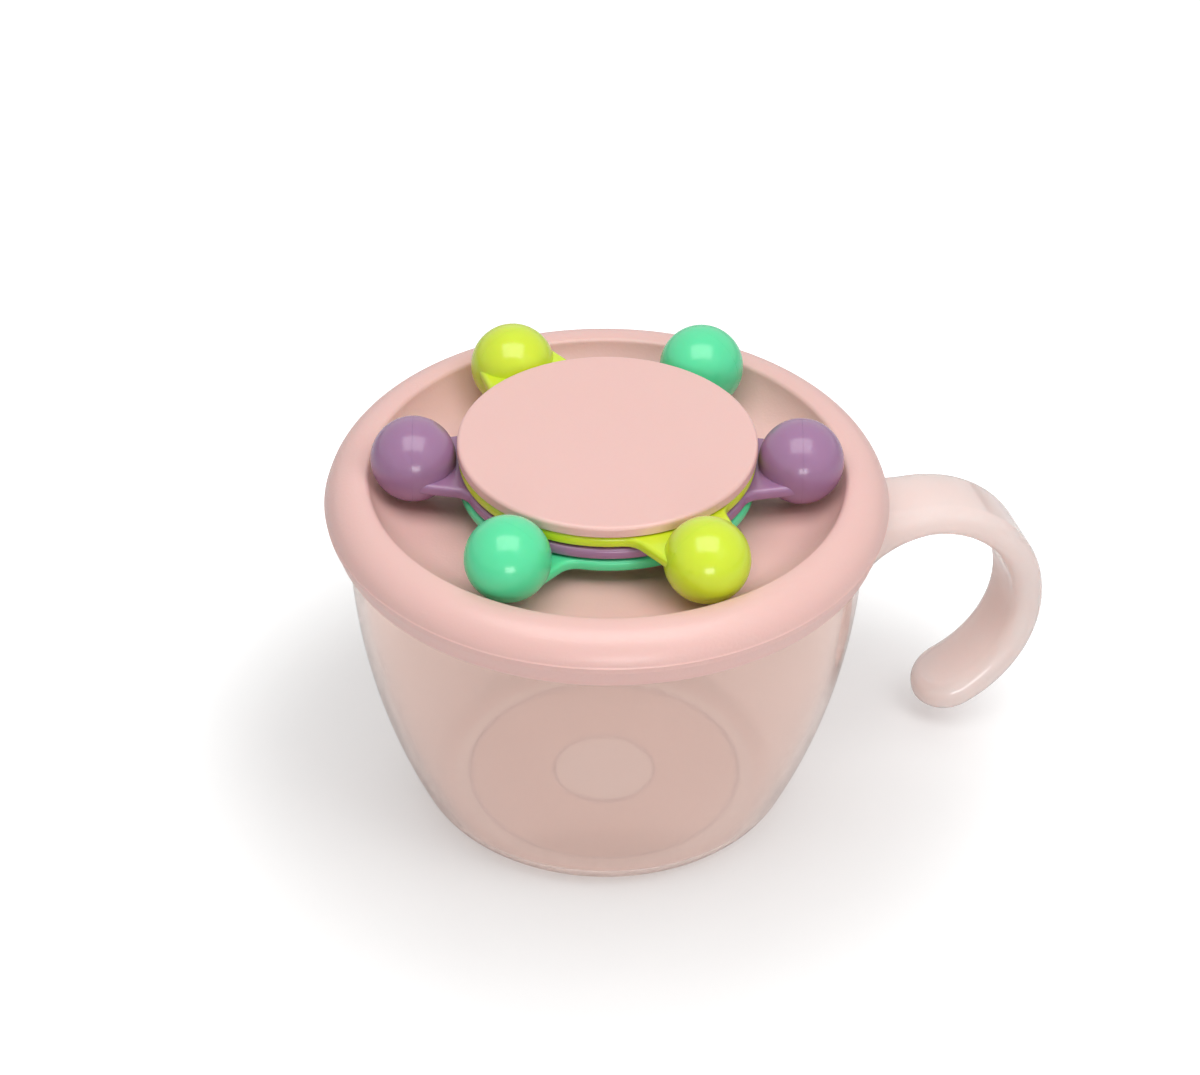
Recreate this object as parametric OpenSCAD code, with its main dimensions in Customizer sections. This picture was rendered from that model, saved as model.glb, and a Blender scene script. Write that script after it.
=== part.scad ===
// Toddler snack container: a tinted cup with a hooked handle, a soft finger trap in its mouth,
// and a press-on lid whose hub carries three spinning bead rings under a round cap.
// The origin is the centre of the cup's underside, +Z is up and the handle points along +X.

/* [Cup] */
// Outer radius of the cup at its mouth
cup_r = 51.5; // [43:0.5:62]
// Height of the cup to the top of its rim
cup_h = 71; // [59:1:85]
// Thickness of the cup's wall and floor
cup_wall = 1.8; // [1.4:0.1:2.6]
// Radius of the side wall's long curve
cup_bow = 140; // [125:5:260]
// Radius of the rounded corner at the foot
foot_round = 8; // [5:0.5:12]
// Height of the upright band below the mouth
mouth_band = 7; // [5:0.5:12]
// How far the rim bead stands out of the wall
rim_bead = 0.7; // [0.3:0.1:1]
// Height of the rim bead
rim_bead_h = 2.2; // [1.6:0.1:3]

/* [Handle] */
// Width of the handle across
handle_w = 16.5; // [10:0.5:22]
// Thickness of the handle
handle_t = 6.4; // [4:0.1:8]
// Rounding of the handle's long edges
handle_edge = 2.8; // [1:0.1:3]
// Distance of the hook's centre from the cup's wall
hook_out = 14.3; // [8:0.1:24]
// Angle that the hook turns through before its rounded tip
hook_turn = 155.5; // [110:0.5:165]
// Height of the hook's lowest point above the table
hook_up = 3.5; // [2:0.1:10]
// How far out from the wall the handle's root starts to thicken
root_reach = 16; // [6:0.5:18]
// How much thicker the root is above, where it meets the wall
root_above = 5; // [2:0.5:6]
// How much thicker the root is below, where it meets the wall
root_below = 16; // [4:0.5:18]
// How much wider the root is on each side, where it meets the wall
root_side = 3; // [0:0.5:5]
// Gap between the root and the lid's skirt
root_gap = 1.7; // [1:0.1:6]

/* [Finger trap] */
// Thickness of the trap's wall
trap_wall = 1.3; // [1:0.1:2]
// Thickness of the slit membrane
trap_skin = 1.1; // [0.8:0.1:2]
// Depth of the membrane below the cup's rim
trap_depth = 9.5; // [7:0.5:16]
// Thickness of the flange on the cup's rim
trap_flange = 1.3; // [1:0.1:1.6]
// Number of flaps in the membrane
trap_flaps = 8; // [4:2:12]
// Width of the slits between the flaps
trap_slit = 0.8; // [0.6:0.1:2]
// Width of the uncut border between the slits' ends and the trap's wall
trap_border = 11.5; // [8:0.5:25]
// Radius of the hole in the middle of the membrane
trap_eye_r = 3; // [2:0.5:8]

/* [Lid] */
// How far the lid reaches out past the cup's wall
lid_out = 4.5; // [4:0.1:5.5]
// Thickness of the lid's wall
lid_wall = 2; // [1.6:0.1:2.4]
// Radius of the roll round the lid's edge
roll_r = 6.9; // [6.5:0.1:7.5]
// Length of the lid's skirt below the middle of the roll
skirt_h = 4.8; // [4:0.1:7]
// How much narrower the skirt is at its lower edge
skirt_in = 1.4; // [1:0.1:1.6]
// Width of the brim between the beads' channel and the lid's outer edge
brim_w = 8.1; // [6.7:0.05:9.8]
// Rounding of the brim's inner edge
brim_edge = 1.2; // [0.6:0.1:1.6]

/* [Hub and cap] */
// Thickness of the hub's wall
hub_wall = 2; // [1.5:0.1:3]
// Width of the step that the lowest ring rests on
step_w = 4.5; // [3:0.5:6]
// Gap between the cap's edge and the balls beside it
cap_gap = 0.1; // [0.1:0.1:2]
// Thickness of the cap
cap_t = 2.4; // [2:0.1:4]
// Rounding of the cap's upper edge
cap_edge = 0.8; // [0.3:0.1:1]
// Height of the cap's underside above the middle of the beads
cap_over = 2.45; // [2:0.05:3.5]
// Radius of the cap's pin
pin_r = 4; // [3:0.1:5]

/* [Bead rings] */
// Width of a ring from its hole to its rim
ring_w = 10.15; // [6:0.05:12]
// How far the cap reaches out past the rings
ring_cover = 0.3; // [0:0.1:2]
// Thickness of a ring
ring_t = 2.5; // [2:0.1:3]
// Gap between two rings
ring_gap = 0.35; // [0.2:0.05:0.5]
// Rounding of the rings' rims
ring_edge = 0.9; // [0.4:0.1:0.9]
// Radius of a bead
bead_r = 8.5; // [7.5:0.1:10.2]
// Thickness of a bead's wall
bead_wall = 1.6; // [1.2:0.1:2.2]
// Gap between the beads and the channel in the lid
channel_gap = 1.1; // [0.6:0.1:1.5]
// Angle by which an arm narrows on each side towards its bead
arm_taper = 11; // [4:1:16]
// Radius of the fillets where an arm leaves its ring
arm_fillet = 4; // [2:0.5:6]
// Direction of the purple ring's arm
purple_turn = -17; // [-90:1:90]

/* [Hidden] */

$fn = 96;
far = 400;             // reaches past the whole object
cut = 1;               // how far a cut runs past what it cuts
fit = 0.1;             // clearance of a part that is pushed into its seat
run = 0.25;            // clearance of a part that turns or lifts off

pink = [0.95, 0.78, 0.75];
pale_pink = [0.95, 0.84, 0.81, 0.55];
frosted = [0.95, 0.93, 0.90];
teal = [0.33, 0.91, 0.65];
purple = [0.66, 0.50, 0.65];
lime = [0.86, 0.93, 0.30];

// Cup
upright_z = cup_h - mouth_band;                  // the wall stands upright above this
bow_x = cup_r - cup_bow;                         // centre of the wall's long curve
foot_x = bow_x + sqrt(pow(cup_bow - foot_round, 2) - pow(upright_z - foot_round, 2));
foot_dir = [foot_x - bow_x, foot_round - upright_z] / (cup_bow - foot_round);
mouth_r = cup_r - cup_wall;                      // inner radius at the mouth
pad_r = foot_x / 3;                              // pad in the middle of the underside
pad_foot = 3;                                    // width of the standing rim round the recess
recess_d = 0.6;                                  // recess round that pad

// Lid
lid_r = cup_r + lid_out;
roll_x = lid_r - roll_r;                         // centre of the roll's section
roll_in = roll_r - lid_wall;                     // radius inside the roll
flange_round = 0.5;                              // rounding of the trap's flange
flange_r = cup_r + rim_bead - 0.3;               // outer edge of that flange
flange_z = cup_h + trap_flange - flange_round;   // middle of its rounded corners
roll_gap = 0.85;                                 // clearance between the flange and the roll
roll_z = flange_z - sqrt(pow(roll_in - flange_round - roll_gap, 2)
                         - pow(flange_r - flange_round - roll_x, 2));
skirt_z = roll_z - skirt_h;                      // lower edge of the skirt
crease_z = roll_z + 0.9;                         // fine line round the roll above the skirt
crease_out = 0.1;
skirt_r = lid_r - skirt_in;
hug_r = cup_r + rim_bead + 0.15;                 // inside of the skirt, clear of the cup's bead
lip_r = (skirt_r - hug_r) / 2;                   // the skirt's lower edge is this round

// Handle
root_z = skirt_z - root_gap - root_above - handle_t / 2;   // middle of the handle at its root
hook_r = (root_z - hook_up - handle_t / 2) / 2;  // radius of the hook, to its middle
hook_x = cup_r + hook_out;                       // centre of the hook
hook_z = root_z - hook_r;
handle_round = min(handle_edge, handle_t / 2 - 0.1);
root_skin = 0.05;                                // keeps the root's facets out of the cup's wall
corner_n = 7;                                    // steps round each corner of the section
side_n = 2;                                      // points along half of its flat sides
end_n = 8;                                       // rings of points on the root's end
root_n = 8;                                      // steps along the root
hook_n = 40;                                     // steps round the hook
tip_n = 9;                                       // steps round its tip

// Finger trap
trap_r = mouth_r - 0.2;                          // outside of the trap's wall
trap_in = trap_r - trap_wall;
skin_z = cup_h - trap_depth;                     // underside of the membrane at the wall
slit_r = trap_r - trap_border;

// Beads' channel in the lid; the beads lie as low as it clears the trap's flange
channel_r = bead_r + channel_gap;
track_r = lid_r - brim_w - channel_r;            // the beads' centres run round at this radius
under_gap = 0.49;                                // clearance between the channel and the flange
bead_z = flange_z + sqrt(pow(channel_r + lid_wall + flange_round + under_gap, 2)
                         - pow(trap_in + flange_round - track_r, 2));
floor_z = bead_z - channel_r;                    // upper side of the lid's floor

// Hub, rings and cap
cap_r = track_r - bead_r - cap_gap;
ring_r = cap_r - ring_cover;
ring_in = ring_r - ring_w;
hub_r = ring_in - run;
cap_z = bead_z + cap_over;                       // underside of the cap
ring_pitch = ring_t + ring_gap;
step_z = cap_z - 3 * ring_pitch + ring_gap - 2 * run;
step_r = hub_r + step_w;
ring_round = min(ring_edge, ring_t / 2 - 0.1);
socket_wall = 2;
spigot_h = 2.8;                                  // depth of the cap's ring in the hub
spigot_w = 1.5;
pin_gap = 0.6;                                   // air under the cap's pin

// Beads
spigot_len = 1.7;                                // spigot that joins a bead's two halves
bead_in = bead_r - bead_wall;
seam = 0.12;                                     // fine groove at a bead's joint
nick = 0.01;                                     // lets the arms' fillets cross the sides they touch
teal_turn = purple_turn + 60;                    // the rings' arms lie a sixth of a turn apart
lime_turn = purple_turn + 120;

// The upper point where two circles cross, from their centres and radii
function crossing(a, ra, b, rb) =
    let (d = norm(b - a), u = (b - a) / d, k = (d * d + ra * ra - rb * rb) / (2 * d))
    a + u * k + [u[1], -u[0]] * sqrt(ra * ra - k * k);

function ring_z(level) = step_z + run + level * ring_pitch;

// Half width of an arm where it enters its bead: the bead's own half width at that height
function arm_end(level) =
    let (low = ring_z(level) - bead_z, high = low + ring_t)
    sqrt(bead_r * bead_r - pow(max(abs(low), abs(high)), 2)) - 0.1;

// A rectangle with rounded corners from [x0, y0] to [x1, y1]
module soft_rect(x0, y0, x1, y1, r) {
    translate([x0 + r, y0]) square([x1 - x0 - 2 * r, y1 - y0]);
    translate([x0, y0 + r]) square([x1 - x0, y1 - y0 - 2 * r]);
    for (x = [x0 + r, x1 - r], y = [y0 + r, y1 - r]) translate([x, y]) circle(r, $fn = 32);
}

// The slice of a circle of radius r round c between the directions from and to
module slice(c, r, from, to) {
    intersection() {
        translate(c) circle(r, $fn = 360);
        polygon([c, c + from * 3 * r, c + (from + to) * 3 * r, c + to * 3 * r]);
    }
}

// The cup's section, set in by d from its outer face and open at the top by up. The foot's round
// and the wall's long curve meet in one point, where they have the same direction.
module cup_section(d, up) {
    translate([0, d]) square([foot_x, cup_h + up - d]);
    slice([foot_x, foot_round], foot_round - d, [0, -1], foot_dir);
    slice([bow_x, upright_z], cup_bow - d, foot_dir, [1, 0]);
    translate([0, upright_z]) square([cup_r - d, mouth_band + up]);
}

module cup() {
    color(pale_pink) rotate_extrude() {
        difference() {
            intersection() {
                union() {
                    cup_section(0, 0);
                    soft_rect(mouth_r, cup_h - rim_bead_h, cup_r + rim_bead, cup_h, 0.6);
                }
                square([far, far]);
            }
            intersection() {
                cup_section(cup_wall, cut);
                square([far, far]);
            }
            soft_rect(pad_r, -cut, foot_x - pad_foot, recess_d, 0.3);
        }
    }
}

// The cup's outer face beside the handle: how far it lies from the axis plane at y and height z
function wall_x(y, z) =
    let (r = bow_x + sqrt(cup_bow * cup_bow - pow(max(0, upright_z - z), 2)))
    sqrt(r * r - y * y);

// How much of the root's thickening is left at a distance d from the wall: a quarter ellipse
function flare(d) = 1 - sqrt(1 - pow(max(0, 1 - d / root_reach), 2));

// The handle's section: t is across its thickness and w across its width. The first half of the
// list runs down one side, the second half mirrors it, and grow thickens it towards the root.
function handle_ring(grow) =
    let (t = handle_t / 2 - handle_round, w = handle_w / 2 - handle_round,
         up = handle_round + grow * root_above, down = handle_round + grow * root_below,
         side = handle_round + grow * root_side,
         half = concat(
             [for (k = [1 : side_n]) [t + up, w * (k - 0.5) / side_n]],
             [for (j = [0 : corner_n]) let (a = 90 * j / corner_n) [t + up * cos(a), w + side * sin(a)]],
             [for (j = [corner_n : -1 : 0])
                 let (a = 90 * j / corner_n) [-t - down * cos(a), w + side * sin(a)]],
             [for (k = [side_n : -1 : 1]) [-t - down, w * (k - 0.5) / side_n]]))
    concat(half, [for (i = [len(half) - 1 : -1 : 0]) [half[i][0], -half[i][1]]]);

// A section's points on the cup's face, which fill the end of the root when they shrink to k
function end_ring(k) = [
    for (p = handle_ring(1) * k) [wall_x(p[1], root_z + p[0]) + root_skin, p[1], root_z + p[0]]];

// A section of the straight root: it follows the cup's face at d = 0 and is flat at the hook
function root_ring(d) =
    let (flat = d / hook_out)
    [for (p = handle_ring(flare(d)))
        [(wall_x(p[1], root_z + p[0]) + root_skin) * (1 - flat) + cup_r * flat + d,
         p[1], root_z + p[0]]];

// A section bent round the hook; at the tip its two halves swing by a towards each other
function hook_ring(turn, a) = [
    for (p = handle_ring(flare(hook_out + hook_r * turn * PI / 180)))
        let (f = turn + abs(p[1]) * sin(a) / hook_r * 180 / PI)
        [hook_x + (hook_r + p[0]) * sin(f), p[1] * cos(a), hook_z + (hook_r + p[0]) * cos(f)]];

// The handle is one skin over rings of points: it flares out of the cup's wall, runs straight,
// bends round the hook and ends in a half-round tip with the same soft edges
module handle() {
    rings = concat(
        [for (k = [1 : end_n - 1]) end_ring(k / end_n)],
        [for (k = [0 : root_n - 1]) root_ring(hook_out * (1 - cos(90 * k / root_n)))],
        [for (k = [0 : hook_n]) hook_ring(hook_turn * k / hook_n, 0)],
        [for (k = [1 : tip_n]) hook_ring(hook_turn, 87 * k / tip_n)]);
    n = len(rings[0]);
    last = n * (len(rings) - 1);
    points = concat([for (ring = rings) each ring], [[wall_x(0, root_z) + root_skin, 0, root_z]]);
    faces = concat(
        [for (k = [0 : len(rings) - 2], i = [0 : n - 1])
            let (here = k * n + i, next = k * n + (i + 1) % n)
            each [[here, next, next + n], [here, next + n, here + n]]],
        [for (i = [0 : n - 1]) [i, len(points) - 1, (i + 1) % n]],
        [for (i = [0 : n / 2 - 2])
            each [[last + i, last + i + 1, last + n - 2 - i],
                  [last + i, last + n - 2 - i, last + n - 1 - i]]]);
    color(pale_pink) polyhedron(points, faces);
}

module finger_trap() {
    top_z = skin_z + trap_skin;
    dish = 1.2;                                  // how far the membrane dips in the middle
    color(frosted) difference() {
        rotate_extrude() {
            // flange on the rim, with its wall down inside the mouth
            soft_rect(trap_in, cup_h, flange_r, cup_h + trap_flange, flange_round);
            translate([trap_in, top_z]) square([trap_wall, cup_h + trap_flange / 2 - top_z]);
            // two ribs that grip the cup's wall
            for (z = [skin_z + 3.5, skin_z + 6.5]) translate([trap_r - 0.4, z]) circle(0.5, $fn = 24);
            // membrane, dished towards the middle, with a thicker rim round its flaps
            polygon([[0, skin_z - dish], [trap_r - 6, skin_z - 0.4], [trap_r - 0.8, skin_z],
                     [trap_r, skin_z + 1], [trap_r, top_z + 0.8], [trap_in, top_z + 1.2],
                     [trap_in - 1, top_z], [trap_r - 6, top_z - 0.4], [0, top_z - dish]]);
            soft_rect(slit_r + 2, skin_z - 1, slit_r + 4, top_z + 0.4, 0.5);
        }
        // slits between the flaps, each ending in a round hole
        translate([0, 0, skin_z - 4]) linear_extrude(8) {
            circle(trap_eye_r);
            for (i = [0 : trap_flaps - 1]) rotate(i * 360 / trap_flaps) {
                translate([0, -trap_slit / 2]) square([slit_r, trap_slit]);
                translate([slit_r, 0]) circle(1.2, $fn = 24);
            }
        }
    }
}

// The space that the beads and rings move in, above the lid's floor
module lid_space() {
    translate([track_r, bead_z]) circle(channel_r);
    translate([0, floor_z]) square([track_r, far]);
    translate([0, bead_z]) square([track_r + channel_r, far]);
}

// The hollow under the roll, which goes over the cup's rim
module lid_hollow() {
    translate([roll_x, roll_z]) circle(roll_in);
    polygon([[roll_x - roll_r - cut, roll_z], [roll_x + roll_in, roll_z],
             [roll_x + roll_in - 0.4, roll_z - 1.3], [hug_r, roll_z - 2.1],
             [hug_r, skirt_z + lip_r], [hug_r, skirt_z - cut], [roll_x - roll_r - cut, skirt_z - cut]]);
}

module lid_section() {
    roll = [roll_x, roll_z];
    channel = [track_r, bead_z];
    soft = crossing(roll, roll_r - brim_edge, channel, channel_r + brim_edge);
    corner = crossing(roll, roll_r, channel, channel_r);
    difference() {
        union() {
            // roll and skirt
            difference() {
                union() {
                    intersection() {
                        translate(roll) circle(roll_r);
                        translate([0, roll_z]) square([far, far]);
                    }
                    polygon([[roll_x, crease_z], [lid_r + crease_out, crease_z],
                             [lid_r, roll_z - 0.7], [skirt_r, skirt_z + lip_r],
                             [roll_x, skirt_z + lip_r]]);
                    translate([skirt_r - lip_r, skirt_z + lip_r]) circle(lip_r, $fn = 32);
                }
                lid_hollow();
            }
            // channel wall and floor
            intersection() {
                union() {
                    translate(channel) circle(channel_r + lid_wall);
                    translate([0, floor_z - lid_wall]) square([track_r, far]);
                }
                square([roll_x, roll_z + roll_in + 0.2]);
            }
        }
        lid_space();
        // the brim's inner edge is rounded off
        difference() {
            polygon([roll + (soft - roll) * roll_r / (roll_r - brim_edge), 2 * corner - soft,
                     channel + (soft - channel) * channel_r / (channel_r + brim_edge), soft]);
            translate(soft) circle(brim_edge, $fn = 32);
        }
    }
}

module lid() {
    socket_r = pin_r + fit + socket_wall;
    color(pink) difference() {
        union() {
            rotate_extrude() {
                lid_section();
                // hub, with the step that the rings rest on and the fillet at its foot
                translate([hub_r - hub_wall, floor_z - lid_wall])
                    square([hub_wall, cap_z - floor_z + lid_wall]);
                translate([hub_r - hub_wall, floor_z - lid_wall])
                    square([hub_wall + step_w, step_z - floor_z + lid_wall]);
                difference() {
                    translate([step_r - cut, floor_z - cut]) square([1.5 + cut, 1.5 + cut]);
                    translate([step_r + 1.5, floor_z + 1.5]) circle(1.5, $fn = 32);
                }
                // socket for the cap's pin
                translate([pin_r + fit, floor_z - lid_wall])
                    square([socket_wall, cap_z - spigot_h - floor_z + lid_wall]);
            }
            // ribs that tie the socket to the hub
            for (a = [0 : 60 : 300]) rotate(a) translate([socket_r - 0.5, -0.75, floor_z - 0.5])
                cube([hub_r - hub_wall - socket_r + 1, 1.5, cap_z - spigot_h - 3 - floor_z]);
        }
        // groove under the step, which keeps its wall even
        rotate_extrude()
            soft_rect(hub_r + 0.8, floor_z - 2 * lid_wall, step_r - 1.6, step_z - lid_wall, 0.4);
    }
}

module lid_cap() {
    color(pink) rotate_extrude() {
        // disc with a rounded upper edge and a broken lower one
        translate([0, cap_z]) square([cap_r - cap_edge, cap_t]);
        polygon([[0, cap_z], [cap_r - 0.3, cap_z], [cap_r, cap_z + 0.3],
                 [cap_r, cap_z + cap_t - cap_edge], [0, cap_z + cap_t - cap_edge]]);
        translate([cap_r - cap_edge, cap_z + cap_t - cap_edge]) circle(cap_edge, $fn = 32);
        // ring that centres it in the hub
        translate([hub_r - hub_wall - fit - spigot_w, cap_z - spigot_h + fit]) square([spigot_w, spigot_h]);
        // pin with a chamfered end
        polygon([[0, floor_z + pin_gap], [pin_r - 0.8, floor_z + pin_gap], [pin_r, floor_z + pin_gap + 1],
                 [pin_r, cap_z + cut], [0, cap_z + cut]]);
    }
}

// Plan of an arm: its sides narrow to the bead, and fillets blend them into the ring
module arm_plan(level) {
    end = [track_r, arm_end(level)];
    out = [sin(arm_taper), cos(arm_taper)];
    along = [cos(arm_taper), -sin(arm_taper)];
    off = out * end + arm_fillet;
    centre = out * off + along * sqrt(pow(ring_r + arm_fillet, 2) - off * off);
    on_ring = centre * ring_r / (ring_r + arm_fillet);
    on_side = centre - out * arm_fillet;
    for (side = [0, 1]) mirror([0, side]) difference() {
        polygon([[on_ring[0] - 3, 0], [on_ring[0] - 3, on_ring[1] * 0.9], on_ring, centre, on_side, end,
                 [track_r, 0]]);
        translate(centre) circle(arm_fillet + nick);
    }
}

// One ring with two arms and the inner halves of their beads
module bead_ring(level) {
    z = ring_z(level);
    difference() {
        union() {
            rotate_extrude() soft_rect(ring_in, z, ring_r, z + ring_t, ring_round);
            for (a = [0, 180]) rotate(a) {
                translate([0, 0, z]) linear_extrude(ring_t) arm_plan(level);
                translate([track_r, 0, bead_z]) intersection() {
                    sphere(bead_r);
                    translate([-far, -far / 2, -far / 2]) cube(far);
                }
            }
        }
        for (a = [0, 180]) rotate(a) translate([track_r, 0, bead_z]) {
            sphere(bead_in);
            rotate([0, -90, 0]) cylinder(r = bead_in + fit, h = spigot_len + fit);
            // fine groove that marks the joint
            rotate([0, 90, 0]) rotate_extrude() translate([bead_r, 0]) circle(seam, $fn = 24);
        }
    }
}

// The outer half of a bead, with the spigot that plugs into the inner half
module bead_half(turn) {
    rotate(turn) translate([track_r, 0, bead_z]) rotate([0, 90, 0]) rotate_extrude() difference() {
        union() {
            intersection() {
                difference() {
                    circle(bead_r);
                    circle(bead_in);
                }
                square(bead_r);
            }
            translate([bead_in - spigot_w, -spigot_len]) square([spigot_w, spigot_len + 1]);
        }
        translate([bead_r, 0]) circle(seam, $fn = 24);
    }
}

module teal_ring() { color(teal) rotate(teal_turn) bead_ring(0); }
module teal_bead_1() { color(teal) bead_half(teal_turn); }
module teal_bead_2() { color(teal) bead_half(teal_turn + 180); }
module purple_ring() { color(purple) rotate(purple_turn) bead_ring(1); }
module purple_bead_1() { color(purple) bead_half(purple_turn); }
module purple_bead_2() { color(purple) bead_half(purple_turn + 180); }
module lime_ring() { color(lime) rotate(lime_turn) bead_ring(2); }
module lime_bead_1() { color(lime) bead_half(lime_turn); }
module lime_bead_2() { color(lime) bead_half(lime_turn + 180); }

cup();
handle();
finger_trap();
lid();
lid_cap();
teal_ring();
teal_bead_1();
teal_bead_2();
purple_ring();
purple_bead_1();
purple_bead_2();
lime_ring();
lime_bead_1();
lime_bead_2();
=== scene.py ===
import bpy
import numpy as np
from mathutils import Matrix


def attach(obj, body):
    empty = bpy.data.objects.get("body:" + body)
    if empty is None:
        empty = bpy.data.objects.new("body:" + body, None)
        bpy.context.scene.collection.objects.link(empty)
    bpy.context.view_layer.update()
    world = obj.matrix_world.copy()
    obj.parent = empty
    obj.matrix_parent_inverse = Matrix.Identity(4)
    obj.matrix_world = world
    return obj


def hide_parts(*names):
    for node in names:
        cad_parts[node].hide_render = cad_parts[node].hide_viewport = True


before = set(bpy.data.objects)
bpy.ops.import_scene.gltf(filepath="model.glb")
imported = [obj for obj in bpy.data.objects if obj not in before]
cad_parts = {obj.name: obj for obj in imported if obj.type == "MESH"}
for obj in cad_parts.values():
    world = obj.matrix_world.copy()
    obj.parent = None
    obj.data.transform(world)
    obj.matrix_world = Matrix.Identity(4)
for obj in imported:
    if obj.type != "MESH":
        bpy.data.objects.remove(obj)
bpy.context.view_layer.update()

# ---- Cup -------------------------------------------------------------------------------------
# Injection-moulded polypropylene, clear with a faint pink tint and slightly milky, 1.8 mm thick.
# The wall is one long arc from the rounded foot to an upright band under a small rim bead.


def arc(centre, radius, start, end, steps):
    """Points centre + radius (cos a, sin a), with a running evenly from start to end degrees."""
    a = np.radians(np.linspace(start, end, steps))
    return np.stack([centre[0] + radius * np.cos(a), centre[1] + radius * np.sin(a)], 1)


def soft_path(corners, steps=7, support=0.25):
    """A line through corners (x, y, r). Each corner with r > 0 becomes an arc of radius r that
    touches both its sides; a point just before and after it keeps the flat faces flat."""
    c = np.array([k[:2] for k in corners], float)
    out = []
    for i, (x, y, r) in enumerate(corners):
        if r <= 0 or i in (0, len(corners) - 1):
            out.append(c[i:i + 1])
            continue
        a, b = c[i - 1] - c[i], c[i + 1] - c[i]
        la, lb = np.hypot(*a), np.hypot(*b)
        a, b = a / la, b / lb
        half = np.arccos(np.clip(a @ b, -1, 1)) / 2
        t = r / np.tan(half)
        mid = (a + b) / np.hypot(*(a + b))
        centre = c[i] + mid * r / np.sin(half)
        s, e = c[i] + a * t - centre, c[i] + b * t - centre
        turn = np.linspace(0, 1, steps)[:, None] * (np.pi - 2 * half) * np.sign(s[0] * e[1] - s[1] * e[0])
        ring = s * np.cos(turn) + np.stack([-s[1], s[0]]) * np.sin(turn)
        more = min(support, 0.2 * min(la, lb))
        out += [(c[i] + a * (t + more))[None], centre + ring, (c[i] + b * (t + more))[None]]
    return np.concatenate(out)


def turned(profile, steps=240):
    """Surface of revolution: the point (r, z) at turn a lies at (r cos a, r sin a, z)."""
    a = np.linspace(0, 2 * np.pi, steps, endpoint=False)
    r, z = profile[:, :1], profile[:, 1:]
    return np.stack([r * np.cos(a), r * np.sin(a), z + 0 * a], -1)


def skin(name, grids, sharp=40):
    """One mesh from grids of points (rows, columns, 3) in mm. Columns close on themselves, and so
    do rows where the flag is set; points that coincide are joined, which closes every pole. Faces
    are turned outwards by the sign of each grid's enclosed volume."""
    points, quads = [], []
    for grid, loop in grids:
        n, m = grid.shape[:2]
        i, j = np.meshgrid(np.arange(n if loop else n - 1), np.arange(m), indexing="ij")
        k, l = (i + 1) % n, (j + 1) % m
        q = np.stack([i * m + j, i * m + l, k * m + l, k * m + j], -1).reshape(-1, 4)
        p = grid.reshape(-1, 3)
        a, b, c, d = (p[q[:, s]] for s in range(4))
        volume = np.sum(np.cross(a, b) * c) + np.sum(np.cross(a, c) * d)
        quads.append((q if volume > 0 else q[:, ::-1]) + sum(len(x) for x in points))
        points.append(p)
    points, quads = np.concatenate(points), np.concatenate(quads)
    _, first, where = np.unique(np.round(points, 4), axis=0, return_index=True, return_inverse=True)
    quads = where.reshape(-1)[quads]
    same = quads == np.roll(quads, -1, 1)
    whole = quads[~same.any(1)]
    side = np.argmax(same, 1)[same.sum(1) == 1]
    part = quads[same.sum(1) == 1]
    three = np.stack([part[np.arange(len(part)), (side + s) % 4] for s in (1, 2, 3)], 1)
    mesh = bpy.data.meshes.new(name)
    mesh.from_pydata((points[first] * 0.001).tolist(), [], whole.tolist() + three.tolist())
    mesh.shade_smooth()
    mesh.set_sharp_from_angle(angle=np.radians(sharp))
    piece = bpy.data.objects.new(name, mesh)
    bpy.context.scene.collection.objects.link(piece)
    return piece


def linear(*rgb):
    """A display colour, 0 to 255, as the linear value that a shader takes."""
    c = np.array(rgb) / 255
    return tuple(np.where(c > 0.04045, ((c + 0.055) / 1.055) ** 2.4, c / 12.92)) + (1.0,)


def moulded(name, light, dark, rough, grain, bump, cloud=14, **sockets):
    """Moulded plastic: its colour drifts between two close shades over centimetres, its roughness
    between two values, and a fine grain, in 1/m, lifts the surface by the tool's texture."""
    m = bpy.data.materials.new(name)
    m.use_nodes = True
    tree = m.node_tree
    shader = tree.nodes["Principled BSDF"]
    place = tree.nodes.new("ShaderNodeTexCoord")
    drift, fine = tree.nodes.new("ShaderNodeTexNoise"), tree.nodes.new("ShaderNodeTexNoise")
    drift.inputs["Scale"].default_value = cloud
    drift.inputs["Detail"].default_value = 3
    fine.inputs["Scale"].default_value = grain
    fine.inputs["Detail"].default_value = 4
    shade = tree.nodes.new("ShaderNodeMix")
    shade.data_type = "RGBA"
    shade.inputs["A"].default_value, shade.inputs["B"].default_value = dark, light
    gloss = tree.nodes.new("ShaderNodeMapRange")
    gloss.inputs["From Min"].default_value, gloss.inputs["From Max"].default_value = 0.3, 0.7
    gloss.inputs["To Min"].default_value, gloss.inputs["To Max"].default_value = rough
    lift = tree.nodes.new("ShaderNodeBump")
    lift.inputs["Strength"].default_value = bump
    lift.inputs["Distance"].default_value = 0.0002
    link = tree.links.new
    link(place.outputs["Object"], drift.inputs["Vector"])
    link(place.outputs["Object"], fine.inputs["Vector"])
    link(drift.outputs["Fac"], shade.inputs["Factor"])
    link(shade.outputs["Result"], shader.inputs["Base Color"])
    link(fine.outputs["Fac"], gloss.inputs["Value"])
    link(gloss.outputs["Result"], shader.inputs["Roughness"])
    link(fine.outputs["Fac"], lift.inputs["Height"])
    link(lift.outputs["Normal"], shader.inputs["Normal"])
    for socket, value in sockets.items():
        shader.inputs[socket.replace("_", " ")].default_value = value
    return m


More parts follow.
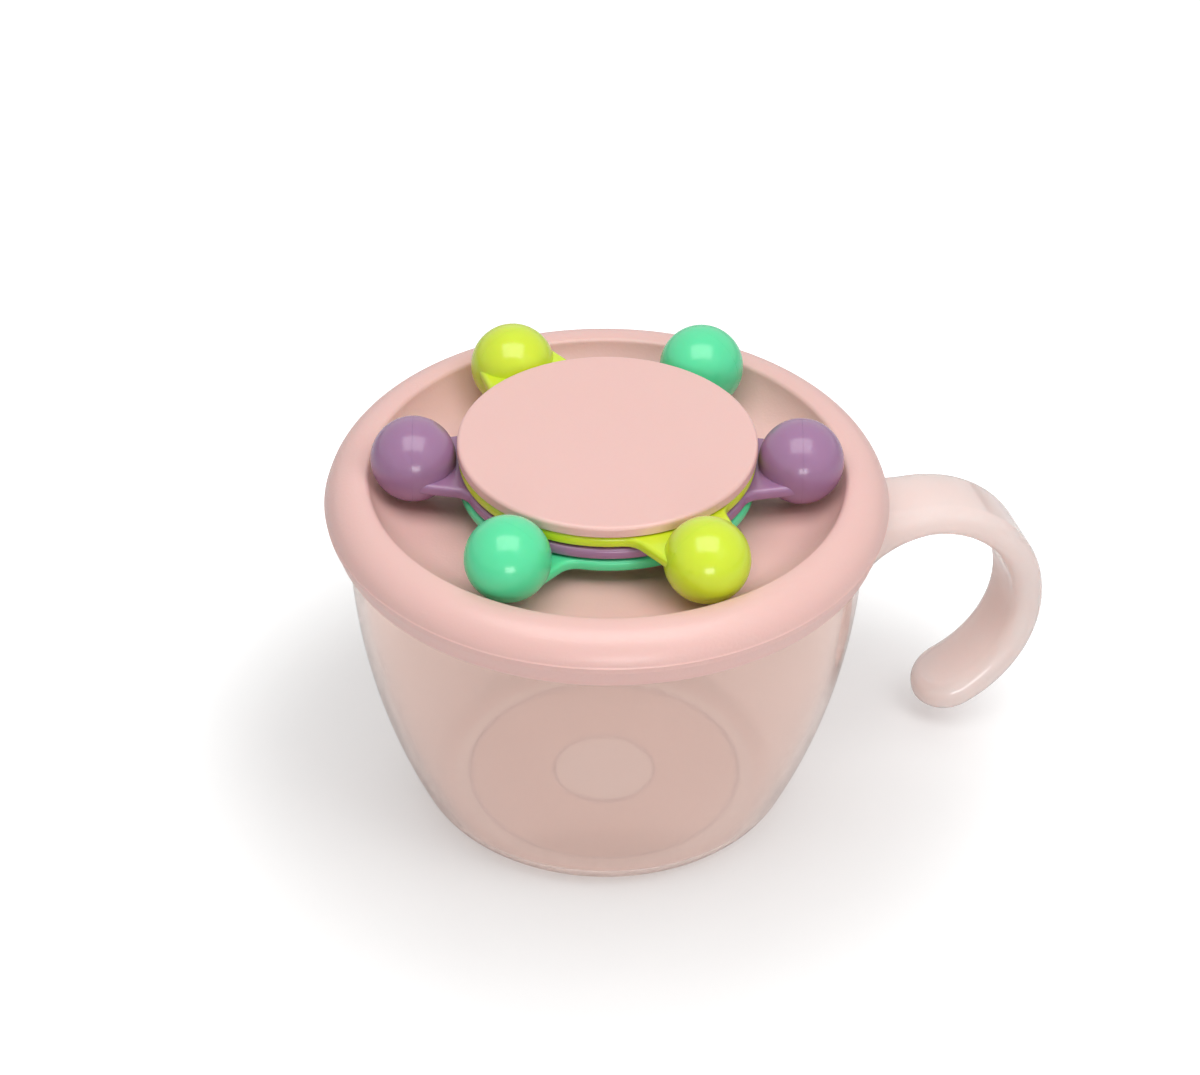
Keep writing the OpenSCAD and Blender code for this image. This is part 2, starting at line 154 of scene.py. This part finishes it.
def clear_to_lamps(m, share, tint):
    """Lets a share of the lamps' light straight through a clear piece, tinted by its plastic."""
    tree = m.node_tree
    ray, part = tree.nodes.new("ShaderNodeLightPath"), tree.nodes.new("ShaderNodeMath")
    part.operation = "MULTIPLY"
    part.inputs[1].default_value = share
    film, both = tree.nodes.new("ShaderNodeBsdfTransparent"), tree.nodes.new("ShaderNodeMixShader")
    film.inputs["Color"].default_value = tint
    tree.links.new(ray.outputs["Is Shadow Ray"], part.inputs[0])
    tree.links.new(part.outputs[0], both.inputs[0])
    tree.links.new(tree.nodes["Principled BSDF"].outputs[0], both.inputs[1])
    tree.links.new(film.outputs[0], both.inputs[2])
    tree.links.new(both.outputs[0], tree.nodes["Material Output"].inputs["Surface"])


cup_h, cup_r, wall, bow, band, foot = 71, 51.5, 1.8, 140, 7, 8
bow_x, upright_z = cup_r - bow, cup_h - band
foot_x = bow_x + np.sqrt((bow - foot) ** 2 - (upright_z - foot) ** 2)
lean = np.degrees(np.arctan2(foot - upright_z, foot_x - bow_x))
pad_r, recess, foot_ring, rim_h, rim_out = foot_x / 3, 0.6, 3, 2.2, 0.7
straight_z = upright_z + 0.5

outside = np.concatenate([
    soft_path([(0, 0, 0), (pad_r, 0, 0.2), (pad_r, recess, 0.2), (foot_x - foot_ring, recess, 0.25),
               (foot_x - foot_ring, 0, 0.25), (foot_x - 1, 0, 0)], 5),
    arc((foot_x, foot), foot, -90, lean, 24),
    arc((bow_x, upright_z), bow, lean, 0, 72)[1:],
    soft_path([(cup_r, straight_z, 0), (cup_r, cup_h - rim_h, 0.3), (cup_r + rim_out, cup_h - rim_h, 0.6),
               (cup_r + rim_out, cup_h, 0.6), (cup_r - wall, cup_h, 0.5), (cup_r - wall, straight_z, 0)]),
])
inside = np.concatenate([
    arc((bow_x, upright_z), bow - wall, 0, lean, 72),
    arc((foot_x, foot), foot - wall, lean, -90, 20)[1:],
    [[foot_x * 0.9, wall], [0, wall]],
])
cup = skin("cup_wall", [(turned(np.concatenate([outside, inside])), False)])
cup_plastic = moulded("clear_pink_plastic", linear(253, 237, 231), linear(250, 231, 224), (0.05, 0.09),
                      900, 0.04, Transmission_Weight=0.9, IOR=1.45)
clear_to_lamps(cup_plastic, 0.6, linear(250, 234, 228))
cup.data.materials.append(cup_plastic)
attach(cup, "cup")
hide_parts("cup")

# ---- Handle ----------------------------------------------------------------------------------
# Moulded in one with the cup from the same plastic, but 6.4 mm thick, so that it looks milky.
# It flares out of the wall, runs straight and bends down into a hook with a half-round tip.

hook_r, hook_x, hook_z, root_z, hook_turn = 23.85, 65.8, 30.55, 54.4, 155.5
handle_w, handle_t, edge = 16.5, 6.4, 2.8
root_reach, root_up, root_down, root_side, root_gap = 16, 5, 16, 3, 0.03


def flare(s):
    """How much of the root's thickening is left at a distance s from the wall: a quarter ellipse
    that starts as one at the wall and ends at root_reach."""
    return 1 - np.sqrt(1 - np.clip(1 - s / root_reach, 0, 1) ** 2)


def band_section(grow, corner=12, flat=6):
    """The handle's section as a closed list (t, w): a rectangle with rounded corners. A corner
    point that faces the angle a moves out by grow times the root's growth up, down or aside."""
    t, w = handle_t / 2 - edge, handle_w / 2 - edge
    a = np.radians(np.concatenate([np.zeros(flat), np.linspace(0, 90, corner + 1),
                                   np.linspace(90, 180, corner + 1), np.full(flat, 180)]))
    across = w * np.concatenate([(np.arange(flat) + 0.5) / flat, np.ones(2 * corner + 2),
                                 (np.arange(flat)[::-1] + 0.5) / flat])
    upper = np.arange(len(a)) < len(a) // 2
    thick = np.where(upper, t, -t) + (edge + grow * np.where(upper, root_up, root_down)) * np.cos(a)
    half = np.stack([thick, across + (edge + grow * root_side) * np.sin(a)], 1)
    return np.concatenate([half, half[::-1] * [1, -1]])


def on_cup(y, z):
    """How far out the cup's face lies beside the handle, at y and height z."""
    r = bow_x + np.sqrt(bow ** 2 - np.maximum(0, upright_z - z) ** 2)
    return np.sqrt(r * r - y * y)


def root_section(s):
    """The section at s from the wall: it follows the wall's face, root_gap off it, at s = 0 and is
    flat where the hook starts."""
    t, w = band_section(flare(s)).T
    part = s / (hook_x - cup_r)
    x = (on_cup(w, root_z + t) + root_gap) * (1 - part) + cup_r * part + s
    return np.stack([x, w, root_z + t], 1)


def hook_section(turn, swing):
    """The section bent round the hook at an angle; at the tip its two halves swing together."""
    t, w = band_section(flare(hook_x - cup_r + hook_r * np.radians(turn))).T
    f = np.radians(turn) + np.abs(w) * np.sin(swing) / hook_r
    return np.stack([hook_x + (hook_r + t) * np.sin(f), w * np.cos(swing),
                     hook_z + (hook_r + t) * np.cos(f)], 1)


# the end face by the wall is made of shrunken copies of the first section
rows = []
for k in (0, 0.25, 0.5, 0.75):
    t, w = band_section(1).T * k
    rows.append(np.stack([on_cup(w, root_z + t) + root_gap, w, root_z + t], 1))
rows += [root_section((hook_x - cup_r) * (1 - np.cos(a))) for a in np.radians(np.linspace(0, 87, 24))]
rows += [hook_section(turn, 0) for turn in np.linspace(0, hook_turn, 90)]
rows += [hook_section(hook_turn, a) for a in np.radians(np.linspace(0, 90, 19)[1:])]
handle = skin("handle_hook", [(np.array(rows), False)])
milky_plastic = moulded("milky_pink_plastic", linear(247, 221, 216), linear(242, 213, 207), (0.08, 0.14),
                        900, 0.05, Transmission_Weight=0.18, IOR=1.45, Subsurface_Weight=1.0,
                        Subsurface_Scale=0.016, Subsurface_Radius=(1.0, 0.8, 0.75), Coat_Weight=0.4,
                        Coat_Roughness=0.04)
clear_to_lamps(milky_plastic, 0.3, linear(250, 226, 219))
handle.data.materials.append(milky_plastic)
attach(handle, "cup")
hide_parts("handle")

# ---- Finger trap -----------------------------------------------------------------------------
# Soft translucent elastomer that hangs in the cup's mouth by its flange. Eight flaps meet in the
# middle and give way to a small hand; a thicker rim keeps the slits from tearing.

trap_r, trap_in, skin_z, skin_t, slit_r, eye_r = 49.5, 48.2, 61.5, 1.1, 38, 3
sag, sag_rise, sag_r, sheet_in = 1.2, 0.8, 43.5, 39.2
ridge_in, ridge_out, ridge_up, ridge_down = 40, 42, 1.5, 1
flange_r, flange_top = 51.9, 72.3
flap_n, flap_steps, hole_r, slit_half, slit_edge = 8, 13, 1.2, 0.4, 0.25


def dish(r):
    """Height of the membrane's upper face: it falls evenly to the middle, sag_rise in sag_r."""
    return skin_z - sag + skin_t + sag_rise * r / sag_r


trap_rim = soft_path([
    (sheet_in, dish(sheet_in) - skin_t, 0), (ridge_in, dish(ridge_in) - skin_t, 0.3),
    (ridge_in, skin_z - ridge_down, 0.4), (ridge_out, skin_z - ridge_down, 0.4),
    (ridge_out, dish(ridge_out) - skin_t, 0.3), (trap_r - 0.8, skin_z, 0.4), (trap_r, skin_z + 1, 0.5),
    (trap_r, cup_h - 0.02, 0.15), (flange_r, cup_h, 0.5), (flange_r, flange_top, 0.5),
    (trap_in, flange_top, 0.5), (trap_in, skin_z + 2.3, 0.8), (trap_in - 1, skin_z + skin_t, 0.8),
    (ridge_out, dish(ridge_out), 0.3), (ridge_out, skin_z + ridge_up, 0.4),
    (ridge_in, skin_z + ridge_up, 0.4), (ridge_in, dish(ridge_in), 0.3), (sheet_in, dish(sheet_in), 0)])
flap_r = np.concatenate([[eye_r, eye_r + 0.1, eye_r + 0.4], np.linspace(eye_r + 1, slit_r - 1.5, 40),
                         slit_r + hole_r * np.sin(np.radians(np.linspace(-90, 90, 15))),
                         [ridge_in + 0.5]])
half_gap = np.where(flap_r > slit_r + hole_r - 0.01, 0,
                    np.maximum(slit_half, np.sqrt(np.maximum(0, hole_r ** 2 - (flap_r - slit_r) ** 2))))
half_t = skin_t / 2 * np.interp(flap_r, [eye_r, eye_r + 0.1, eye_r + 0.4], [0.3, 0.75, 1])

# across a flap: its upper face, a rounded slit edge, its lower face and the other edge
round_a = np.radians(np.linspace(90, -90, 7))
half_turn = np.pi / flap_n - half_gap / flap_r
soft = slit_edge / flap_r
top = np.outer(half_turn - soft, np.linspace(-1, 1, flap_steps))
right = (half_turn - soft)[:, None] + np.outer(soft, np.cos(round_a))
flap_turn = np.concatenate([top, right[:, 1:-1], top[:, ::-1], -right[:, 1:-1]], 1)
height = np.concatenate([np.ones(flap_steps), np.sin(round_a)[1:-1],
                         -np.ones(flap_steps), -np.sin(round_a)[1:-1]])
flap_z = (dish(flap_r) - skin_t / 2)[:, None] + np.outer(half_t, height)
flaps = []
for i in range(flap_n):
    turn = flap_turn + i * 2 * np.pi / flap_n
    sheet = np.stack([flap_r[:, None] * np.cos(turn), flap_r[:, None] * np.sin(turn), flap_z], -1)
    ends = [np.broadcast_to(sheet[k].mean(0), sheet[k].shape)[None] for k in (0, -1)]
    flaps.append((np.concatenate([ends[0], sheet, ends[1]]), False))
trap = skin("finger_trap_membrane", [(turned(trap_rim, 192), True)] + flaps)
elastomer = moulded("soft_clear_elastomer", linear(243, 236, 228), linear(235, 226, 217), (0.32, 0.45),
                    700, 0.12, Transmission_Weight=0.3, IOR=1.41, Subsurface_Weight=0.6,
                    Subsurface_Scale=0.003)
clear_to_lamps(elastomer, 0.4, linear(245, 236, 230))
trap.data.materials.append(elastomer)
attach(trap, "finger_trap")
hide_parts("finger_trap")

# ---- Lid -------------------------------------------------------------------------------------
# Opaque pink polypropylene with a satin, faintly grained face. A fat roll runs round the brim, a
# smooth trough inside it holds the balls, and a hub with a step in the middle carries the rings.

track_r, bead_z, bead_r, trough_r, lid_t = 38.3, 78.9, 8.5, 9.6, 2
floor_z = bead_z - trough_r
roll_x, roll_z, roll_r = 49.1, floor_z - 0.2, 6.9
brim_r = roll_x + roll_r
hub_r, step_r, step_z, cap_z = 19, 23.5, 72.65, 81.35
socket_in, socket_out, socket_z = 4.1, 6.1, 78.55
hollow_in, hollow_out = hub_r + 0.8, step_r - 1.6
skirt_r, skirt_z, hug_r, lip_r, soft_brim = 54.6, roll_z - 4.8, 52.35, 1.125, 1.2
rib_in, rib_out, rib_t, rib_low, rib_top = socket_out - 0.3, hub_r - 1.8, 1.5, floor_z - 0.3, 75.5


def crossing(a, ra, b, rb):
    """The upper point where two circles cross, from their centres and radii."""
    a, b = np.array(a, float), np.array(b, float)
    d = np.hypot(*(b - a))
    u = (b - a) / d
    k = (d * d + ra * ra - rb * rb) / (2 * d)
    return a + u * k + np.array([u[1], -u[0]]) * np.sqrt(ra * ra - k * k)


def bearing(centre, point):
    """The direction, in degrees, from a centre to a point."""
    return np.degrees(np.arctan2(point[1] - centre[1], point[0] - centre[0]))


roll, trough = (roll_x, roll_z), (track_r, bead_z)
brim = crossing(roll, roll_r - soft_brim, trough, trough_r + soft_brim)
under = crossing(roll, roll_r - lid_t, trough, trough_r + lid_t)
to_trough, to_roll = bearing(brim, trough), bearing(roll, brim)
lid_line = np.concatenate([
    soft_path([(0, floor_z, 0), (socket_in, floor_z, 0.2), (socket_in, socket_z, 0.3),
               (socket_out, socket_z, 0.3), (socket_out, floor_z, 0.3), (hub_r - lid_t, floor_z, 0.3),
               (hub_r - lid_t, cap_z, 0.3), (hub_r, cap_z, 0.4), (hub_r, step_z, 0.25),
               (step_r, step_z, 0.5), (step_r, floor_z, 1.5), (track_r - 1, floor_z, 0)], 6),
    arc(trough, trough_r, -90, bearing(trough, brim), 56),
    arc(brim, soft_brim, to_trough, to_roll, 10)[1:],
    arc(roll, roll_r, to_roll, 8, 72)[1:],
    soft_path([(brim_r + 0.02, roll_z + 0.85, 0), (brim_r + 0.1, roll_z + 0.7, 0),
               (brim_r + 0.02, roll_z + 0.45, 0), (brim_r - 0.1, roll_z - 0.5, 1.5),
               (skirt_r + 0.15, skirt_z + lip_r + 0.4, 0)], 6),
    arc((skirt_r - lip_r, skirt_z + lip_r), lip_r, 0, -180, 16),
    soft_path([(hug_r, skirt_z + lip_r + 0.3, 0), (hug_r, roll_z - 2.1, 0.4),
               (roll_x + 4.5, roll_z - 1.3, 0.4), (brim_r - lid_t, roll_z, 0)], 5),
    arc(roll, roll_r - lid_t, 2, bearing(roll, under), 40),
    arc(trough, trough_r + lid_t, bearing(trough, under), -90, 40)[1:],
    soft_path([(track_r - 1, floor_z - lid_t, 0), (hollow_out, floor_z - lid_t, 0.3),
               (hollow_out, step_z - lid_t, 0.5), (hollow_in, step_z - lid_t, 0.5),
               (hollow_in, floor_z - lid_t, 0.3), (0, floor_z - lid_t, 0)], 5),
])


def swung(grid, turn):
    """A grid of points turned round the hub's axis by an angle in degrees."""
    c, s = np.cos(np.radians(turn)), np.sin(np.radians(turn))
    x, y, z = grid[..., 0], grid[..., 1], grid[..., 2]
    return np.stack([x * c - y * s, x * s + y * c, z], -1)


def rib(turn, x0, x1, t, z0, z1):
    """A thin upright rib from radius x0 to x1: a rounded outline carried across its thickness."""
    line = soft_path([((x0 + x1) / 2, z0, 0), (x1, z0, 0.2), (x1, z1, 0.4), (x0, z1, 0.4), (x0, z0, 0.2),
                      ((x0 + x1) / 2 - 0.1, z0, 0)], 5)
    middle = np.broadcast_to(line.mean(0), line.shape)
    side = np.stack([middle, line, line, middle])
    y = np.array([-t, -t, t, t])[:, None] / 2 + 0 * side[..., 0]
    return swung(np.stack([side[..., 0], y, side[..., 1]], -1), turn)


lid = skin("lid_shell", [(turned(lid_line), False)] +
           [(rib(turn, rib_in, rib_out, rib_t, rib_low, rib_top), False) for turn in range(0, 360, 60)])
pink_satin = moulded("pink_satin_plastic", linear(229, 188, 181), linear(225, 181, 174), (0.34, 0.44),
                     1500, 0.22, IOR=1.5, Subsurface_Weight=0.12, Subsurface_Scale=0.002,
                     Coat_Weight=0.2, Coat_Roughness=0.2)
lid.data.materials.append(pink_satin)
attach(lid, "lid")
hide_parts("lid")

# ---- Cap -------------------------------------------------------------------------------------
# A plain disc moulded from the lid's plastic, which keeps the rings on the hub. The pin under its
# middle presses into the hub's socket, and a ring round the pin centres the disc in the hub.

cap_r, cap_t, pin_r, pin_z = 29.7, 2.4, 4, floor_z + 0.6
centring_r, centring_t, centring_z = hub_r - 2.1, 1.5, 78.65
cap_line = soft_path([
    (0, cap_z + cap_t, 0), (cap_r, cap_z + cap_t, 0.75), (cap_r, cap_z, 0.3), (centring_r, cap_z, 0.2),
    (centring_r, centring_z, 0.3), (centring_r - centring_t, centring_z, 0.3),
    (centring_r - centring_t, cap_z, 0.2), (pin_r, cap_z, 0.2), (pin_r, pin_z, 0.8), (0, pin_z, 0)], 8)
cap = skin("cap_disc", [(turned(cap_line, 288), False)])
cap.data.materials.append(pink_satin)
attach(cap, "lid")
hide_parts("lid_cap")

# ---- Bead rings ------------------------------------------------------------------------------
# Three flat rings turn on the hub, teal lowest, then purple, then lime. Each has two arms that
# swell out of it in fillets and end in hollow balls, moulded in halves and pushed together.

ring_in, ring_r, ring_t, ring_gap, ring_edge, arm_lean, arm_fillet = 19.25, 29.4, 2.5, 0.35, 0.9, 11, 4
hole_edge, mid_r, flat_edge, lowest_gap = 0.5, 27.5, 0.3, 0.25
wall_in, seam, seam_at = 6.9, 0.015, 89.85


def ring_outline(low):
    """The ring's outline as a closed list: its circle, and on both sides an arm whose flanks lean
    in by arm_lean to the ball's own width at that height, with concave fillets at the ring."""
    end = np.sqrt(bead_r ** 2 - max(abs(low), abs(low + ring_t)) ** 2) - 0.1
    lean_r = np.radians(arm_lean)
    out, along = np.array([np.sin(lean_r), np.cos(lean_r)]), np.array([np.cos(lean_r), -np.sin(lean_r)])
    off = out @ [track_r, end] + arm_fillet
    centre = out * off + along * np.sqrt((ring_r + arm_fillet) ** 2 - off ** 2)
    at_ring = bearing((0, 0), centre)
    quarter = np.concatenate([
        arc((track_r, 0), end, 0, 90, 10),
        np.linspace([track_r, end], centre - out * arm_fillet, 12)[1:-1],
        arc(centre, arm_fillet, -90 - arm_lean, at_ring - 180, 16),
        arc((0, 0), ring_r, at_ring, 90, 40)[1:]])
    half = np.concatenate([quarter, (quarter * [-1, 1])[-2::-1]])
    return np.concatenate([half[:-1], -half[:-1]])


def ring_plate(z):
    """The ring with its arms: a section that starts at the hub hole, crosses the upper face, turns
    round the soft outer edge and comes back below, carried along the outline."""
    line = ring_outline(z - bead_z)
    tangent = np.roll(line, -1, 0) - np.roll(line, 1, 0)
    tangent /= np.hypot(*tangent.T)[:, None]
    normal = np.stack([tangent[:, 1], -tangent[:, 0]], 1)
    hole = line / np.hypot(*line.T)[:, None]
    a = np.radians(np.linspace(90, -90, 13))
    edge_xy = [line + normal * ring_edge * (np.cos(k) - 1) for k in a]
    edge_z = np.where(a > 0, z + ring_t - ring_edge, z + ring_edge) + ring_edge * np.sin(a)
    edge_z[len(a) // 2] = z + ring_t / 2
    hole_a = np.radians(np.linspace(-90, 90, 7))
    inner = [hole * (ring_in + hole_edge * (1 - np.cos(k))) for k in hole_a]
    inner_z = z + ring_t / 2 + np.sin(hole_a) * ring_t / 2
    above = [hole * mid_r, edge_xy[0] - normal * flat_edge]
    below = [edge_xy[-1] - normal * flat_edge, hole * mid_r]
    rows_xy = inner + above + edge_xy + below
    rows_z = np.concatenate([inner_z, [z + ring_t] * 2, edge_z, [z] * 2])
    return np.stack([np.concatenate([xy, np.full((len(xy), 1), h)], 1) for xy, h in zip(rows_xy, rows_z)])


def half_ball(side):
    """Half a hollow ball about its arm's axis: outer skin, seam with a fine groove, inner skin."""
    outer = arc((0, 0), bead_r, 0, seam_at, 44)
    lip = np.array([[0.01, bead_r - seam], [0, bead_r - 2 * seam], [0, wall_in]])
    inner = arc((0, 0), wall_in, 90, 0, 24)[1:]
    line = np.concatenate([outer, lip, inner])
    turn = np.linspace(0, 2 * np.pi, 96, endpoint=False)
    x = side * line[:, :1] + 0 * turn
    return np.stack([x, line[:, 1:] * np.cos(turn), line[:, 1:] * np.sin(turn)], -1)


def placed(grid, turn):
    """A ball's grid moved out to the track and turned round the hub."""
    return swung(grid + [track_r, 0, bead_z], turn)


def bead_plastic(colour, light, dark):
    """One ring's plastic: opaque and glossy, with a little light let in under its face."""
    return moulded(colour + "_gloss_plastic", linear(*light), linear(*dark), (0.16, 0.22), 900, 0.015,
                   IOR=1.5, Subsurface_Weight=0.15, Subsurface_Scale=0.002)


bead_plastics = {"teal": bead_plastic("teal", (92, 224, 163), (82, 216, 154)),
                 "purple": bead_plastic("purple", (160, 118, 156), (152, 111, 147)),
                 "lime": bead_plastic("lime", (209, 229, 50), (202, 222, 40))}
for level, (colour, turn) in enumerate([("teal", 43), ("purple", -17), ("lime", 103)]):
    plate = swung(ring_plate(step_z + lowest_gap + level * (ring_t + ring_gap)), turn)
    ring = skin(colour + "_spinner", [(plate, True)] +
                [(placed(half_ball(-1), turn + k), False) for k in (0, 180)])
    halves = [skin(f"{colour}_ball_half_{n + 1}", [(placed(half_ball(1), turn + 180 * n), False)])
              for n in (0, 1)]
    for piece, node in zip([ring] + halves, ["_ring", "_bead_1", "_bead_2"]):
        piece.data.materials.append(bead_plastics[colour])
        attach(piece, colour + "_spinner")
        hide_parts(colour + node)

# ---- Table, light and camera -----------------------------------------------------------------
# A seamless table top painted white by a glow that camera and transmission rays see. The glow is weaker
# near the cup, so the floor there is darker and keeps the lamps' soft shadow, and it paints the table
# plain white further out. A wide soft light overhead with weaker ones round it, and the camera at the
# photograph's angle: 36.6 degrees above the table and turned 17.4 degrees away from square to the handle.

reach = 4
table = bpy.data.objects.new("table_top", bpy.data.meshes.new("table_top"))
table.data.from_pydata([(-reach, -reach, 0), (reach, -reach, 0), (reach, reach, 0), (-reach, reach, 0)],
                       [], [(0, 1, 2, 3)])
bpy.context.scene.collection.objects.link(table)
table_glow_paint = bpy.data.materials.new("white_table_painted_glow")
table_glow_paint.use_nodes = True
tree = table_glow_paint.node_tree
diffuse = tree.nodes["Principled BSDF"]
diffuse.inputs["Base Color"].default_value = (0.82, 0.815, 0.81, 1)
diffuse.inputs["Roughness"].default_value = 0.9
diffuse.inputs["Specular IOR Level"].default_value = 0
ray = tree.nodes.new("ShaderNodeLightPath")
seen = tree.nodes.new("ShaderNodeMath")
seen.operation = "MAXIMUM"
# painted light: a white emission that the camera sees on the table, faded down near the cup so that the
# floor is darker there and plain white further out
glow, both = tree.nodes.new("ShaderNodeEmission"), tree.nodes.new("ShaderNodeMixShader")
glow.inputs["Strength"].default_value = 1.3
tree.links.new(ray.outputs["Is Camera Ray"], seen.inputs[0])
tree.links.new(ray.outputs["Is Transmission Ray"], seen.inputs[1])
place, far = tree.nodes.new("ShaderNodeTexCoord"), tree.nodes.new("ShaderNodeVectorMath")
far.operation = "LENGTH"
fade, lift = tree.nodes.new("ShaderNodeMapRange"), tree.nodes.new("ShaderNodeMath")
fade.interpolation_type = "SMOOTHSTEP"
fade.inputs["From Min"].default_value, fade.inputs["From Max"].default_value = 0.06, 0.125
fade.inputs["To Min"].default_value, fade.inputs["To Max"].default_value = 0.25, 1.0
lift.operation = "MULTIPLY"
tree.links.new(place.outputs["Object"], far.inputs[0])
tree.links.new(far.outputs["Value"], fade.inputs["Value"])
tree.links.new(fade.outputs["Result"], lift.inputs[1])
tree.links.new(seen.outputs[0], lift.inputs[0])
tree.links.new(lift.outputs[0], both.inputs[0])
tree.links.new(diffuse.outputs[0], both.inputs[1])
tree.links.new(glow.outputs[0], both.inputs[2])
tree.links.new(both.outputs[0], tree.nodes["Material Output"].inputs["Surface"])
table.data.materials.append(table_glow_paint)

world = bpy.data.worlds.new("studio")
bpy.context.scene.world = world
world.use_nodes = True
tree = world.node_tree
sky = tree.nodes["Background"]
ray = tree.nodes.new("ShaderNodeLightPath")
seen, either = tree.nodes.new("ShaderNodeMath"), tree.nodes.new("ShaderNodeMath")
seen.operation = either.operation = "MAXIMUM"
level = tree.nodes.new("ShaderNodeMapRange")
level.inputs["To Min"].default_value, level.inputs["To Max"].default_value = 0.14, 1.0
tree.links.new(ray.outputs["Is Camera Ray"], seen.inputs[0])
tree.links.new(ray.outputs["Is Transmission Ray"], seen.inputs[1])
tree.links.new(seen.outputs[0], either.inputs[0])
tree.links.new(ray.outputs["Is Glossy Ray"], either.inputs[1])
tree.links.new(either.outputs[0], level.inputs["Value"])
tree.links.new(level.outputs["Result"], sky.inputs["Strength"])
sky.inputs["Color"].default_value = (1, 1, 1, 1)

view_turn, lamp_aim_z, camera_aim_z = np.radians(-17.4), 0.06, 0.05


def softbox(name, aside, high, size, power, glint=True):
    """A rectangular soft light a metre from the cup and facing it, aside degrees to the right of
    the camera and high degrees up. Without a glint it only fills and isn't mirrored."""
    lamp = bpy.data.lights.new(name, "AREA")
    lamp.shape = "RECTANGLE"
    lamp.size, lamp.size_y = size
    lamp.energy = power
    box = bpy.data.objects.new(name, lamp)
    box.visible_glossy = glint
    bpy.context.scene.collection.objects.link(box)
    box.matrix_world = (
        Matrix.Translation((0, 0, lamp_aim_z)) @ Matrix.Rotation(view_turn + np.radians(aside), 4, "Z")
        @ Matrix.Rotation(np.radians(90 - high), 4, "X") @ Matrix.Translation((0, 0, 1)))


softbox("overhead", 0, 78, (1.0, 0.75), 7.8)
softbox("low_front", 6, 8, (0.4, 0.24), 2.0)
softbox("right_fill", 50, 45, (0.5, 0.5), 2.6, False)
softbox("left_fill", -80, 30, (0.8, 0.8), 0.9, False)
softbox("behind", 180, 42, (0.8, 0.8), 2.0, False)

lens = bpy.data.cameras.new("camera")
lens.sensor_fit, lens.sensor_width, lens.lens = "HORIZONTAL", 36, 141.72
lens.clip_end = 20
camera = bpy.data.objects.new("camera", lens)
bpy.context.scene.collection.objects.link(camera)
bpy.context.scene.camera = camera
# radians and metres; pan, tip and cant are the small turns that the fitted camera has besides
high, away, pan, tip, cant = 0.6386, 0.95015, 0.0017, 0.0084, 0.0094
camera.matrix_world = (
    Matrix.Rotation(view_turn, 4, "Z")
    @ Matrix.Translation((0, -away * np.cos(high), camera_aim_z + away * np.sin(high)))
    @ Matrix.Rotation(pan, 4, "Z") @ Matrix.Rotation(np.pi / 2 - high + tip, 4, "X")
    @ Matrix.Rotation(cant, 4, "Z"))
bpy.context.scene.view_settings.view_transform = "Standard"
